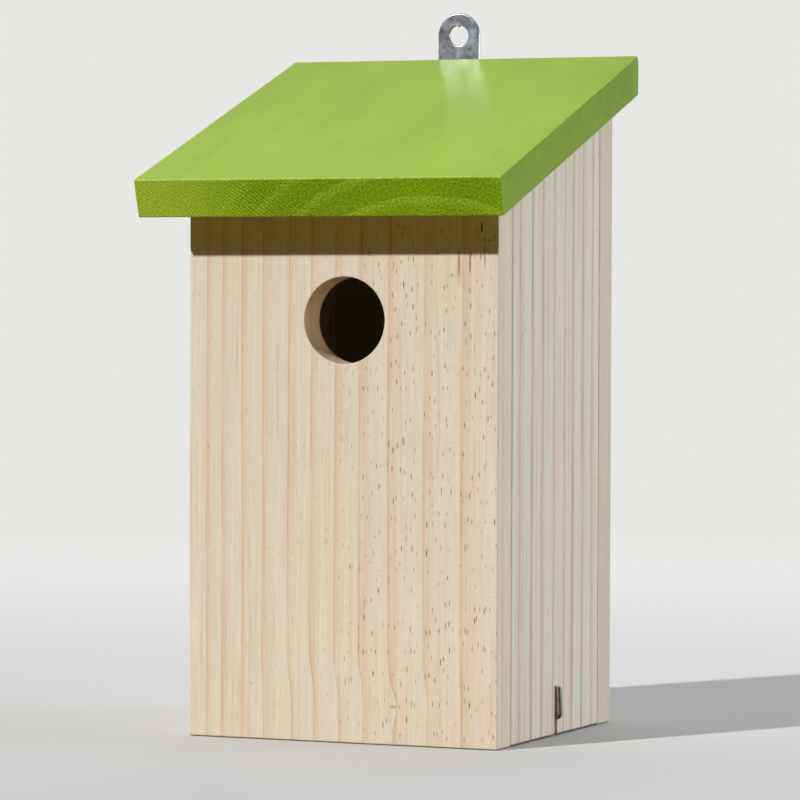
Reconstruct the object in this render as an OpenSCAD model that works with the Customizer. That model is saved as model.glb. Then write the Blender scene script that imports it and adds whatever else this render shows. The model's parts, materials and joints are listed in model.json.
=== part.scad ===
// Nest box for small garden birds.
// Softwood boards, a single sloping roof board, a side that swings out for
// cleaning, a wire hook that locks it and a steel plate for hanging.
// Millimetres, +Z up, the entrance faces -Y, the hinged side is at +X.

/* [Box] */
// Width of the box across the front
box_w = 124; // [112:1:136]
// Depth of the box from the front face to the back face
box_d = 116; // [104:1:130]
// Height of the front board at its outer face
front_h = 200; // [190:1:230]
// Thickness of the wall and floor boards
board_t = 13.5; // [12:0.5:15]

/* [Roof] */
// Width of the roof board
roof_w = 145; // [142:1:160]
// Thickness of the roof board
roof_t = 14.5; // [12:0.5:18]
// Slope of the roof, down to the front, in degrees
roof_slope = 19.5; // [16:0.5:24]
// How far the underside of the roof reaches past the front face
roof_front = 21; // [14:1:28]

/* [Entrance] */
// Diameter of the entrance hole
hole_d = 32; // [25:1:34]
// Height of the middle of the entrance hole
hole_z = 155; // [145:1:160]
// Sideways offset of the entrance hole
hole_x = 1; // [-4:1:4]

/* [Side door] */
// Gap round the edges of the hinged side
door_gap = 0.4; // [0.3:0.1:0.8]
// Gap under the roof that the hinged side needs to swing
door_top_gap = 2; // [2:0.25:3]
// Gap below the hinged side
door_foot_gap = 0.5; // [0.4:0.1:1]
// Depth of the pivot axis below the top of the front face
pivot_drop = 11; // [11:0.5:14]
// Diameter of the pivot nails
pivot_d = 2; // [1.8:0.1:2.4]
// Length of the pivot nails
pivot_len = 30; // [26:1:34]
// Radial clearance of the hinged side on its pivot nails
pivot_clear = 0.06; // [0.03:0.01:0.1]

/* [Latch] */
// Diameter of the hook wire
wire_d = 2; // [1.8:0.1:2]
// Distance of the hook from the front face
latch_y = 59; // [54:1:62]
// Height of the hook arm above the axis of its shank
arm_h = 11.5; // [9:0.5:14]
// Radius of the bend, at the middle of the wire
bend_r = 1.5; // [1.5:0.1:1.6]
// Gap between the hook arm and the face of the hinged side
arm_gap = 0.4; // [0.3:0.1:0.6]
// Length of the hook shank inside the floor board
shank_in = 15; // [10:1:20]
// Width of the slot in the hinged side
slot_w = 2.6; // [2.6:0.1:4]

/* [Hanger] */
// Width of the hanging plate
plate_w = 17.4; // [16:0.2:20]
// Thickness of the hanging plate
plate_t = 1.5; // [1.2:0.1:2]
// Length of the hanging plate
plate_len = 60; // [56:1:66]
// Height of the middle of the plate hole above the rear top edge of the roof
plate_rise = 9; // [8:0.5:12]
// Diameter of the plate hole
plate_hole_d = 8; // [7:0.5:9]
// Sideways offset of the hanging plate
plate_x = -2.5; // [-6:0.5:6]

/* [Fasteners] */
// Diameter of the brads
brad_d = 1.6; // [1.2:0.1:1.8]
// Length of the brads
brad_len = 30; // [24:1:30]
// Depth of the brads below the outer surface, filled over
brad_sink = 0.8; // [0.6:0.1:1.2]
// Diameter of the drain holes in the floor
drain_d = 6; // [4:0.5:8]

/* [Hidden] */
$fn = 48;

// Height of the underside of the roof at a distance y from the front face
function under(y) = front_h + y * tan(roof_slope);

half = box_w / 2;
lean = roof_t * sin(roof_slope);
eave_y = -roof_front - lean;            // foremost point, the roof's top front edge
rear_y = box_d + plate_t;               // rearmost point, the back of the plate
mid_y = (eave_y + rear_y) / 2;
roof_back_z = under(box_d) + roof_t / cos(roof_slope);
pivot_x = half - board_t / 2;
pivot_z = front_h - pivot_drop;
latch_z = board_t / 2;
arm_x = half + arm_gap + wire_d / 2;    // middle of the hook arm
floor_edge = half - board_t - door_gap; // edge of the floor that faces the door
slot_top = latch_z + arm_h + 0.5;
plate_hole_z = roof_back_z + plate_rise;
plate_top = plate_hole_z + plate_w / 2;
plate_foot = plate_top - plate_len;
screw_zs = [plate_foot + 6, plate_foot + 18];

pine = [0.90, 0.82, 0.68];
pine_edge = [0.84, 0.76, 0.62];
green = [0.58, 0.72, 0.26];
zinc = [0.70, 0.72, 0.75];
steel = [0.36, 0.38, 0.37];

// Moves the model so that its origin is the middle of its base
module place() { translate([0, -mid_y, 0]) children(); }

// A board whose outline lies in the Y-Z plane, from x0 to x1
module board(x0, x1, outline) {
    translate([x0, 0, 0]) rotate([90, 0, 90])
        linear_extrude(x1 - x0) polygon(outline);
}

// A board between y0 and y1 whose top follows the roof, less a top gap
module wall(x0, x1, y0, y1, z0 = 0, gap = 0) {
    board(x0, x1, [[y0, z0], [y1, z0], [y1, under(y1) - gap], [y0, under(y0) - gap]]);
}

// One straight brad, from its punched head inwards along +Z
module brad() { cylinder(d = brad_d, h = brad_len); }

// Where the brads go: each site looks inwards along +Z
module front_brad_sites() {
    for (z = [30, 100, 170]) translate([-pivot_x, brad_sink, z]) rotate([-90, 0, 0]) children();
    for (x = [-28, 28]) translate([x, brad_sink, board_t / 2]) rotate([-90, 0, 0]) children();
}
module back_brad_sites() {
    for (z = [30, 110, 190]) translate([-pivot_x, box_d - brad_sink, z]) rotate([90, 0, 0]) children();
    for (x = [-28, 28]) translate([x, box_d - brad_sink, board_t / 2]) rotate([90, 0, 0]) children();
}
module side_brad_sites() {
    for (y = [40, 76]) translate([-half + brad_sink, y, board_t / 2]) rotate([0, 90, 0]) children();
}
// A site on the roof, square to its slope, above a point x, y of its underside
module roof_site(x, y) {
    translate([x, y - (roof_t - brad_sink) * sin(roof_slope),
               under(y) + (roof_t - brad_sink) * cos(roof_slope)])
        rotate([180 + roof_slope, 0, 0]) children();
}
module roof_brad_sites() {
    for (x = [-40, 0, 40]) roof_site(x, 4.4) children();
    for (x = [-42, 42]) roof_site(x, box_d - board_t + 4.4) children();
    for (y = [40, 76]) roof_site(-pivot_x, y) children();
}

// One pivot nail with a small head, from its head inwards along +Z
module pivot_nail() {
    cylinder(d = pivot_d, h = pivot_len);
    cylinder(d = pivot_d + 1.2, h = 1.2);
}
module front_pivot_site() { translate([pivot_x, 0, pivot_z]) rotate([-90, 0, 0]) children(); }
module rear_pivot_site() { translate([pivot_x, box_d, pivot_z]) rotate([90, 0, 0]) children(); }

// One countersunk wood screw, from the face of its head inwards along +Z
module wood_screw() {
    difference() {
        union() {
            cylinder(d1 = 6, d2 = 3, h = plate_t);
            translate([0, 0, plate_t]) cylinder(d = 3, h = 8.5 - plate_t);
            translate([0, 0, 8.5]) cylinder(d1 = 3, d2 = 0.6, h = 2.5);
        }
        for (a = [0, 90]) rotate([0, 0, a]) translate([-1.6, -0.35, -1]) cube([3.2, 0.7, 2]);
    }
}
module screw_sites() {
    for (z = screw_zs) translate([plate_x, rear_y, z]) rotate([90, 0, 0]) children();
}

module front_panel() {
    color(pine) place() difference() {
        wall(-half, half, 0, board_t);
        translate([hole_x, -1, hole_z]) rotate([-90, 0, 0]) cylinder(d = hole_d, h = board_t + 2, $fn = 96);
        front_brad_sites() brad();
        roof_brad_sites() brad();
        front_pivot_site() { pivot_nail(); translate([0, 0, -1]) cylinder(d = pivot_d + 1.2, h = 1.5); }
    }
}

module back_panel() {
    color(pine) place() difference() {
        wall(-half, half, box_d - board_t, box_d);
        back_brad_sites() brad();
        roof_brad_sites() brad();
        rear_pivot_site() { pivot_nail(); translate([0, 0, -1]) cylinder(d = pivot_d + 1.2, h = 1.5); }
        screw_sites() wood_screw_hole();
    }
}

// The hole that a wood screw cuts in the board behind the plate
module wood_screw_hole() {
    translate([0, 0, plate_t - 0.5]) cylinder(d = 3, h = 9 - plate_t);
    translate([0, 0, 8.5]) cylinder(d1 = 3, d2 = 0.6, h = 2.5);
}

module left_side_panel() {
    color(pine_edge) place() difference() {
        wall(-half, -half + board_t, board_t, box_d - board_t);
        front_brad_sites() brad();
        back_brad_sites() brad();
        side_brad_sites() brad();
        roof_brad_sites() brad();
    }
}

module side_door() {
    color(pine_edge) place() difference() {
        wall(half - board_t, half, board_t + door_gap, box_d - board_t - door_gap,
             door_foot_gap, door_top_gap);
        // slot for the hook, open at the foot
        translate([half - board_t - 1, latch_y - slot_w / 2, -1])
            cube([board_t + 2, slot_w, slot_top + 1]);
        // pivot bores
        front_pivot_site() cylinder(d = pivot_d + 2 * pivot_clear, h = pivot_len + 0.6);
        rear_pivot_site() cylinder(d = pivot_d + 2 * pivot_clear, h = pivot_len + 0.6);
    }
}

module floor_panel() {
    color(pine_edge) place() difference() {
        translate([-half + board_t, board_t, 0])
            cube([floor_edge + half - board_t, box_d - 2 * board_t, board_t]);
        for (x = [-34, 34], y = [box_d / 2 - 30, box_d / 2 + 30])
            translate([x, y, -1]) cylinder(d = drain_d, h = board_t + 2);
        front_brad_sites() brad();
        back_brad_sites() brad();
        side_brad_sites() brad();
        // bore for the shank of the hook
        translate([floor_edge + 1, latch_y, latch_z]) rotate([0, -90, 0])
            cylinder(d = wire_d + 0.12, h = shank_in + 1.5);
    }
}

module roof_panel() {
    color(green) place() difference() {
        board(-roof_w / 2, roof_w / 2, [
            [-roof_front, under(-roof_front)],
            [box_d, under(box_d)],
            [box_d, roof_back_z],
            [eave_y, under(-roof_front) + roof_t * cos(roof_slope)]]);
        roof_brad_sites() brad();
    }
}

module hanger_plate() {
    color(zinc) place() difference() {
        translate([plate_x, rear_y, 0]) rotate([90, 0, 0]) linear_extrude(plate_t) {
            translate([0, plate_hole_z]) circle(d = plate_w, $fn = 96);
            translate([-plate_w / 2, plate_foot]) square([plate_w, plate_hole_z - plate_foot]);
        }
        translate([plate_x, rear_y + 1, plate_hole_z]) rotate([90, 0, 0])
            cylinder(d = plate_hole_d, h = plate_t + 2);
        screw_sites() cylinder(d1 = 6, d2 = 3, h = plate_t);
        screw_sites() translate([0, 0, -1]) cylinder(d = 6, h = 1);
        screw_sites() cylinder(d = 3, h = plate_t + 1);
    }
}

module hanger_screws() {
    color(zinc) place() screw_sites() wood_screw();
}

// The wire hook: a shank along X, a quarter bend and an upright arm cut off flat
module latch_hook() {
    color(steel) place() translate([0, latch_y, latch_z]) {
        translate([arm_x - bend_r, 0, 0]) rotate([0, -90, 0])
            cylinder(d = wire_d, h = arm_x - bend_r - floor_edge + shank_in - 2);
        translate([floor_edge - shank_in + 2, 0, 0]) rotate([0, -90, 0])
            cylinder(d1 = wire_d, d2 = 0.4, h = 2);
        translate([arm_x - bend_r, 0, bend_r]) rotate([90, 0, 0]) rotate([0, 0, -90])
            rotate_extrude(angle = 90, $fn = 64) translate([bend_r, 0]) circle(d = wire_d);
        translate([arm_x, 0, bend_r]) cylinder(d = wire_d, h = arm_h - bend_r);
    }
}

module front_pivot_nail() { color(steel) place() front_pivot_site() pivot_nail(); }
module rear_pivot_nail() { color(steel) place() rear_pivot_site() pivot_nail(); }
module front_brads() { color(steel) place() front_brad_sites() brad(); }
module back_brads() { color(steel) place() back_brad_sites() brad(); }
module side_brads() { color(steel) place() side_brad_sites() brad(); }
module roof_brads() { color(steel) place() roof_brad_sites() brad(); }

front_panel();
back_panel();
left_side_panel();
side_door();
floor_panel();
roof_panel();
hanger_plate();
hanger_screws();
latch_hook();
front_pivot_nail();
rear_pivot_nail();
front_brads();
back_brads();
side_brads();
roof_brads();
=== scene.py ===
import bpy
import bmesh
import json
import math
from mathutils import Matrix, Vector, noise
from mathutils.geometry import delaunay_2d_cdt

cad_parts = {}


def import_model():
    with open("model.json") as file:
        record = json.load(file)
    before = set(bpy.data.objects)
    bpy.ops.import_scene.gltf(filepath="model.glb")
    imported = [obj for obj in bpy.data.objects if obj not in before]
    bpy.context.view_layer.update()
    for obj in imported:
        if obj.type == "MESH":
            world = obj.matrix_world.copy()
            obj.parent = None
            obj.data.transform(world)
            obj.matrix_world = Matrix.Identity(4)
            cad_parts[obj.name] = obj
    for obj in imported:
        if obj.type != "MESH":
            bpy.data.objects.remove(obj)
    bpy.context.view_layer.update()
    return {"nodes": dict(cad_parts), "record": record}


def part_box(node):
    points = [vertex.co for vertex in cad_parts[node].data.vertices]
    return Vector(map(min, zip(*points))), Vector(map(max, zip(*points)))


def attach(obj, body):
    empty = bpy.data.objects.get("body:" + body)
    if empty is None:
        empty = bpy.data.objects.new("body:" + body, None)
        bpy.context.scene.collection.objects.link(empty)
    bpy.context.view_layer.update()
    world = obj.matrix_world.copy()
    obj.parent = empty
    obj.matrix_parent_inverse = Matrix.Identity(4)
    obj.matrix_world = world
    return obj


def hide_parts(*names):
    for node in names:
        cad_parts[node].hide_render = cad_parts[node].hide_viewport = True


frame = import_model()
scene = bpy.context.scene
record = frame["record"]
mounts = {m["name"]: m for m in record["mounts"]}

# ---------------------------------------------------------------- sizes, in mm
# x across, y into the box from its front face, z up from its foot

Y0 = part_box("front_panel")[0].y


def mm(node):
    lo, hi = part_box(node)
    return lo.x * 1e3, hi.x * 1e3, (lo.y - Y0) * 1e3, (hi.y - Y0) * 1e3, lo.z * 1e3, hi.z * 1e3


def world(p):
    return (p[0] * 1e-3, p[1] * 1e-3 + Y0, p[2] * 1e-3)


FX0, FX1, FY0, FY1, FZ0, FZ1 = mm("front_panel")
BX0, BX1, BY0, BY1, BZ0, BZ1 = mm("back_panel")
SLOPE = (BZ1 - FZ1) / (BY1 - FY1)
TILT = math.atan(SLOPE)


def under(y):
    return FZ1 + (y - FY1) * SLOPE


RX0, RX1, RY0, RY1, RZ0, RZ1 = mm("roof_panel")
ROOF_T = (RZ1 - under(RY1)) * math.cos(TILT)
EAVE_Y = FY1 + (RZ0 - FZ1) / SLOPE
HX = mounts["entrance_hole"]["pos_m"][0] * 1e3
HZ = mounts["entrance_hole"]["pos_m"][2] * 1e3
HR = mounts["entrance_hole"]["dims"]["r_mm"]
PHX = mounts["hanger_hole"]["pos_m"][0] * 1e3
PHZ = mounts["hanger_hole"]["pos_m"][2] * 1e3
PHR = mounts["hanger_hole"]["dims"]["r_mm"]

X, Y, Z = Vector((1, 0, 0)), Vector((0, 1, 0)), Vector((0, 0, 1))


def n3(p, size, seed):
    """Smooth noise from -1 to 1 with features of about size mm."""
    return noise.noise(Vector((p[0] / size + seed * 7.13, p[1] / size - seed * 3.7, p[2] / size + seed * 1.9)))


def smooth(x, a, b):
    t = min(1.0, max(0.0, (x - a) / (b - a)))
    return t * t * (3 - 2 * t)


# ------------------------------------------------------------------ mesh tools


def outline(points, radii, step=3.0, arc=5, dense=()):
    """A closed anticlockwise outline with rounded corners: (point, outward normal, how far it is on a corner)."""
    count = len(points)
    corners = []
    for i in range(count):
        p = Vector(points[i])
        a = Vector(points[i - 1])
        b = Vector(points[(i + 1) % count])
        d0 = (p - a).normalized()
        d1 = (b - p).normalized()
        turn = math.atan2(d0.x * d1.y - d0.y * d1.x, d0.dot(d1))
        r = radii[i] if isinstance(radii, (list, tuple)) else radii
        cut = r * math.tan(abs(turn) / 2)
        start = p - d0 * cut
        n0 = Vector((d0.y, -d0.x))
        side = 1 if turn > 0 else -1
        centre = start - n0 * r * side
        seg = []
        for k in range(arc + 1):
            w = k / arc
            n = Matrix.Rotation(turn * w, 2) @ n0
            seg.append((centre + n * r * side, n, math.sin(math.pi * w)))
        corners.append(seg)
    out = []
    for i in range(count):
        out += corners[i]
        a = corners[i][-1][0]
        b = corners[(i + 1) % count][0][0]
        span = (b - a).length
        cuts = max(1, int(round(span / step)))
        at = [k / cuts for k in range(1, cuts)]
        if i in dense:
            at += [k * 0.55 / span for k in range(1, 6)]
        if (i + 1) % count in dense:
            at += [1 - k * 0.55 / span for k in range(1, 6)]
        for w in sorted(at):
            out.append((a.lerp(b, w), corners[i][-1][1], 0.0))
    return out


def round_hole(cx, cz, r, count=64, bump=None):
    out = []
    for k in range(count):
        t = 2 * math.pi * k / count
        rr = r - (bump(t) if bump else 0.0)
        out.append((Vector((cx + rr * math.cos(t), cz + rr * math.sin(t))), Vector((-math.cos(t), -math.sin(t))), 0.0))
    return out


def long_hole(cx, cz, r, half):
    out = []
    for k in range(24):
        t = 2 * math.pi * k / 24
        lift = half if 0 < k < 12 else -half if k > 12 else 0.0
        out.append((Vector((cx + r * math.cos(t), cz + lift + r * math.sin(t))), Vector((-math.cos(t), -math.sin(t))), 0.0))
    return out


def inside(p, loop):
    hit = False
    for i in range(len(loop)):
        a, b = loop[i - 1], loop[i]
        if (a[1] > p[1]) != (b[1] > p[1]) and p[0] < (b[0] - a[0]) * (p[1] - a[1]) / (b[1] - a[1]) + a[0]:
            hit = not hit
    return hit


def finish_mesh(name, verts, normals, faces, arris, body, nodes, material):
    me = bpy.data.meshes.new(name)
    me.from_pydata([world(v) for v in verts], [], faces)
    bm = bmesh.new()
    bm.from_mesh(me)
    bmesh.ops.recalc_face_normals(bm, faces=bm.faces)
    for f in bm.faces:
        f.smooth = True
    bm.to_mesh(me)
    bm.free()
    at = me.attributes.new("arris", "FLOAT", "POINT")
    at.data.foreach_set("value", arris)
    if normals:
        me.normals_split_custom_set_from_vertices([n.normalized() for n in normals])
    me.materials.append(material)
    o = bpy.data.objects.new(name, me)
    scene.collection.objects.link(o)
    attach(o, body)
    if nodes:
        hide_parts(*nodes)
    return o


def slab(name, loop, axes, d0, d1, edge0, edge1, body, nodes, material,
         holes=(), between=0, wobble=0.1, seed=0, shape=None, steps=4):
    """A board: the outline pushed from depth d0 to d1, with rounded edges, holes and a slight hand-sanded wobble."""
    S, T, D = axes
    way = 1 if d1 > d0 else -1
    verts, flat, norms, arris, faces = [], [], [], [], []
    e0 = edge0 if callable(edge0) else (lambda q: edge0)
    e1 = edge1 if callable(edge1) else (lambda q: edge1)

    def add(q, depth, n2, nd, a):
        p = S * q.x + T * q.y + D * depth
        n = S * n2.x + T * n2.y + D * nd
        if shape:
            p, n = shape(p, n)
        if a > 0 and wobble:
            p = p - n.normalized() * wobble * a * (0.5 + 0.35 * n3(p, 7.0, seed) + 0.4 * n3(p, 31.0, seed + 5))
        verts.append(p)
        flat.append((q.x, q.y))
        norms.append(n)
        arris.append(max(0.0, min(1.0, a)))
        return len(verts) - 1

    def wall(loop, ra, rb, blind=None, mid=0):
        rings = []
        for k in range(steps + 1):
            t = math.pi / 2 * k / steps
            s, c = math.sin(t), math.cos(t)
            rings.append([add(q - n * ra(q) * (1 - s), d0 + way * ra(q) * (1 - c), n * s, -way * c, max(math.sin(2 * t), ca * s)) for q, n, ca in loop])
        if blind is not None:
            rings.append([add(q, d0 + way * blind, n, 0, 0) for q, n, ca in loop])
            rings.append([add(q + n * 0.02, d0 + way * blind, n * 0.05, -way, 0) for q, n, ca in loop])
            mid_q = sum((q for q, n, ca in loop), Vector((0, 0))) / len(loop)
            centre = add(mid_q, d0 + way * blind, Vector((0, 0)), -way, 0)
            last = rings[-1]
            for i in range(len(last)):
                faces.append((last[i - 1], last[i], centre))
        else:
            for w in (mid if isinstance(mid, list) else [j / (mid + 1) for j in range(1, mid + 1)]):
                rings.append([add(q, (d0 + way * ra(q)) * (1 - w) + (d1 - way * rb(q)) * w, n, 0, ca) for q, n, ca in loop])
            for k in range(steps, -1, -1):
                t = math.pi / 2 * k / steps
                s, c = math.sin(t), math.cos(t)
                rings.append([add(q - n * rb(q) * (1 - s), d1 - way * rb(q) * (1 - c), n * s, way * c, max(math.sin(2 * t), ca * s)) for q, n, ca in loop])
        for a, b in zip(rings, rings[1:]):
            for i in range(len(a)):
                faces.append((a[i - 1], a[i], b[i], b[i - 1]))
        return rings[0], rings[-1]

    def cap(loops):
        index = [i for l in loops for i in l]
        where = {v: k for k, v in enumerate(index)}
        edges = [(where[l[i - 1]], where[l[i]]) for l in loops for i in range(len(l))]
        out = delaunay_2d_cdt([Vector(flat[i]) for i in index], edges, [], 0, 1e-6, True)
        co, tris, orig = out[0], out[2], out[3]
        back = [index[o[0]] if o else None for o in orig]
        shapes = [[flat[i] for i in l] for l in loops]
        for t in tris:
            m = (sum(co[i][0] for i in t) / len(t), sum(co[i][1] for i in t) / len(t))
            if inside(m, shapes[0]) and not any(inside(m, h) for h in shapes[1:]):
                f = tuple(back[i] for i in t)
                if None not in f and len(set(f)) == len(f):
                    faces.append(f)

    a, b = wall(loop, e0, e1, mid=between)
    near, far = [a], [b]
    for h in holes:
        r = h.get("edge", 0.3)
        ha, hb = wall(h["loop"], lambda q: r, lambda q: r, blind=h.get("blind"), mid=h.get("mid", 0))
        near.append(ha)
        if h.get("blind") is None:
            far.append(hb)
    cap(near)
    cap(far)
    return finish_mesh(name, verts, norms, faces, arris, body, nodes, material)


def turned(name, profile, centre, axis, side, body, nodes, slot, material, count=32, dent=None):
    """A turned piece: profile is (distance along axis, radius) from its face inwards, with an optional dent in its face."""
    axis = Vector(axis)
    side = Vector(side)
    other = axis.cross(side)
    verts, faces = [], []
    for d, r in profile:
        for k in range(count):
            t = 2 * math.pi * k / count
            u, v = r * math.cos(t), r * math.sin(t)
            verts.append(Vector(centre) + axis * (d + (dent(u, v, d) if dent else 0.0)) + side * u + other * v)
    for j in range(len(profile) - 1):
        for k in range(count):
            a, b = j * count + k, j * count + (k + 1) % count
            faces.append((a, b, b + count, a + count))
    for first, sgn in ((0, 1), ((len(profile) - 1) * count, -1)):
        d, r = profile[0 if first == 0 else -1]
        verts.append(Vector(centre) + axis * (d + (dent(0, 0, d) if dent and first == 0 else 0.0)))
        for k in range(count):
            faces.append((first + k, first + (k + 1) % count, len(verts) - 1))
    return verts, faces


def sweep(path, radii, count=24, flat_tip=True):
    """A round wire along path."""
    verts, faces = [], []
    up = Vector((0, 1, 0))
    for i, p in enumerate(path):
        t = (path[min(i + 1, len(path) - 1)] - path[max(i - 1, 0)]).normalized()
        u = (up - t * up.dot(t)).normalized()
        w = t.cross(u)
        for k in range(count):
            a = 2 * math.pi * k / count
            verts.append(p + (u * math.cos(a) + w * math.sin(a)) * radii[i])
    for j in range(len(path) - 1):
        for k in range(count):
            a, b = j * count + k, j * count + (k + 1) % count
            faces.append((a, b, b + count, a + count))
    for first, p in ((0, path[0]), ((len(path) - 1) * count, path[-1])):
        verts.append(p)
        for k in range(count):
            faces.append((first + k, first + (k + 1) % count, len(verts) - 1))
    return verts, faces


# ------------------------------------------------------------------- materials


def lin(r, g, b):
    def f(c):
        c /= 255
        return c / 12.92 if c <= 0.04045 else ((c + 0.055) / 1.055) ** 2.4
    return (f(r), f(g), f(b), 1.0)


class Net:
    def __init__(self, name):
        self.mat = bpy.data.materials.new(name)
        self.mat.use_nodes = True
        self.t = self.mat.node_tree
        self.t.nodes.clear()
        self.out = self.new("ShaderNodeOutputMaterial")
        self.bsdf = self.new("ShaderNodeBsdfPrincipled")
        self.t.links.new(self.bsdf.outputs[0], self.out.inputs[0])

    def new(self, kind, **props):
        n = self.t.nodes.new(kind)
        for k, v in props.items():
            setattr(n, k, v)
        return n

    def put(self, sock, v):
        if isinstance(v, bpy.types.NodeSocket):
            self.t.links.new(v, sock)
        else:
            sock.default_value = v

    def m(self, op, a, b=None, c=None, clamp=False):
        n = self.new("ShaderNodeMath", operation=op, use_clamp=clamp)
        for s, v in zip(n.inputs, (a, b, c)):
            if v is not None:
                self.put(s, v)
        return n.outputs[0]

    def v(self, op, a, b=None, scale=None):
        n = self.new("ShaderNodeVectorMath", operation=op)
        self.put(n.inputs[0], a)
        if b is not None:
            self.put(n.inputs[1], b)
        if scale is not None:
            self.put(n.inputs["Scale"], scale)
        return n.outputs["Value"] if op in ("DOT_PRODUCT", "LENGTH", "DISTANCE") else n.outputs["Vector"]

    def xyz(self, x, y, z):
        n = self.new("ShaderNodeCombineXYZ")
        for s, v in zip(n.inputs, (x, y, z)):
            self.put(s, v)
        return n.outputs[0]

    def sep(self, v):
        n = self.new("ShaderNodeSeparateXYZ")
        self.put(n.inputs[0], v)
        return n.outputs

    def noise(self, vec, scale=1.0, detail=2.0, rough=0.5, distort=0.0):
        n = self.new("ShaderNodeTexNoise")
        self.put(n.inputs["Vector"], vec)
        self.put(n.inputs["Scale"], scale)
        self.put(n.inputs["Detail"], detail)
        self.put(n.inputs["Roughness"], rough)
        self.put(n.inputs["Distortion"], distort)
        return n

    def fac(self, vec, scale=1.0, detail=2.0, rough=0.5, distort=0.0):
        return self.noise(vec, scale, detail, rough, distort).outputs["Fac"]

    def step(self, x, a, b, lo=0.0, hi=1.0, soft=True):
        n = self.new("ShaderNodeMapRange", interpolation_type="SMOOTHSTEP" if soft else "LINEAR")
        n.clamp = True
        for s, v in zip(("Value", "From Min", "From Max", "To Min", "To Max"), (x, a, b, lo, hi)):
            self.put(n.inputs[s], v)
        return n.outputs[0]

    def mix(self, f, a, b, blend="MIX"):
        n = self.new("ShaderNodeMix", data_type="RGBA", blend_type=blend)
        self.put(n.inputs[0], f)
        self.put(n.inputs[6], a)
        self.put(n.inputs[7], b)
        return n.outputs[2]

    def times(self, col, f):
        """The colour scaled by a number that varies over the surface."""
        return self.v("SCALE", col, scale=f)

    def curve(self, x, pts):
        n = self.new("ShaderNodeFloatCurve")
        c = n.mapping.curves[0]
        c.points[0].location = pts[0]
        c.points[1].location = pts[-1]
        for p in pts[1:-1]:
            c.points.new(*p)
        for p in c.points:
            p.handle_type = "VECTOR"
        n.mapping.update()
        self.put(n.inputs["Value"], x)
        return n.outputs[0]

    def attr(self, name):
        n = self.new("ShaderNodeAttribute", attribute_name=name)
        return n.outputs["Fac"]

    def place(self):
        """The point in mm: x across, y in from the front face, z up."""
        tc = self.new("ShaderNodeTexCoord")
        self.facing = tc.outputs["Normal"]
        mm_ = self.v("SCALE", tc.outputs["Object"], scale=1000.0)
        return self.v("SUBTRACT", mm_, (0.0, Y0 * 1000, 0.0))

    def bump(self, height, distance, strength=1.0, after=None):
        n = self.new("ShaderNodeBump")
        n.inputs["Strength"].default_value = strength
        n.inputs["Distance"].default_value = distance
        self.put(n.inputs["Height"], height)
        if after is not None:
            self.put(n.inputs["Normal"], after)
        return n.outputs[0]


def grain(net, axes, pith, rings, seed, knot=None, warp=1.6):
    """Growth rings through a board: returns the board's own coordinates and how far the point is through its ring."""
    p = net.place()
    A, B, C = axes
    a, b, c = (net.v("DOT_PRODUCT", p, tuple(q)) for q in (A, B, C))
    net.a, net.b, net.c = a, b, c
    slow = net.noise(net.xyz(net.m("MULTIPLY_ADD", a, 1 / 16, seed * 3.1), net.m("MULTIPLY", b, 1 / 16), net.m("MULTIPLY", c, 1 / 120)), detail=1.0)
    quick = net.noise(net.xyz(net.m("MULTIPLY_ADD", a, 1 / 4, seed * 5.3), net.m("MULTIPLY", b, 1 / 4), net.m("MULTIPLY", c, 1 / 24)), detail=2.0)
    s, q = net.sep(slow.outputs["Color"]), net.sep(quick.outputs["Color"])

    def shifted(x, k):
        x = net.m("ADD", x, net.m("MULTIPLY_ADD", s[k], warp, -warp / 2))
        return net.m("ADD", x, net.m("MULTIPLY_ADD", q[k], 0.5, -0.25))

    wa, wb = shifted(a, 0), shifted(b, 1)
    if knot:
        ka, kc, push, wide, tall = knot
        d = net.v("LENGTH", net.xyz(net.m("MULTIPLY", net.m("SUBTRACT", a, ka), 1 / wide), net.m("MULTIPLY", net.m("SUBTRACT", c, kc), 1 / tall), 0.0))
        wa = net.m("SUBTRACT", wa, net.step(d, 0.0, 1.0, push, 0.0))
        foot = net.m("MULTIPLY", net.step(c, 14.0, 34.0, 2.0, 0.0), net.step(net.m("ABSOLUTE", net.m("SUBTRACT", a, 5.0)), 20.0, 48.0, 1.0, 0.0))
        wa = net.m("SUBTRACT", wa, foot)
    a0, b0 = pith
    R = net.v("LENGTH", net.xyz(net.m("SUBTRACT", wa, a0), net.m("SUBTRACT", wb, b0), 0.0))
    radii = sorted(rings)
    gap = (radii[-1] - radii[0]) / (len(radii) - 1)
    while radii[0] > gap:
        radii.insert(0, radii[0] - gap)
    top = max(radii[-1] + 12 * gap, 60.0)
    while radii[-1] < top - gap:
        radii.append(radii[-1] + gap)
    top = radii[-1]
    N = float(len(radii))
    phase = net.m("MULTIPLY", net.curve(net.m("MULTIPLY", R, 1 / top), [(0.0, 0.0)] + [(r / top, (k + 1) / N) for k, r in enumerate(radii)]), N)
    net.f = net.m("FRACT", phase)
    net.k = net.m("FLOOR", phase)
    wn = net.new("ShaderNodeTexWhiteNoise", noise_dimensions="1D")
    net.put(wn.inputs["W"], net.m("ADD", net.k, seed * 17.0))
    net.r1 = wn.outputs["Value"]
    net.r2 = net.sep(wn.outputs["Color"])
    return net


def end_mask(net, C):
    d = net.m("ABSOLUTE", net.v("DOT_PRODUCT", net.facing, tuple(C)))
    return net.step(d, 0.55, 0.85)


def fibres(net, seed, across=0.45, along=26.0):
    v = net.xyz(net.m("MULTIPLY_ADD", net.a, 1 / across, seed), net.m("MULTIPLY", net.b, 1 / across), net.m("MULTIPLY", net.c, 1 / along))
    return net.fac(v, detail=3.0, rough=0.6)


PINE_CREAM = lin(222, 214, 195)
PINE_LATE = lin(216, 190, 158)
PINE_LINE = lin(196, 158, 122)


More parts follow.
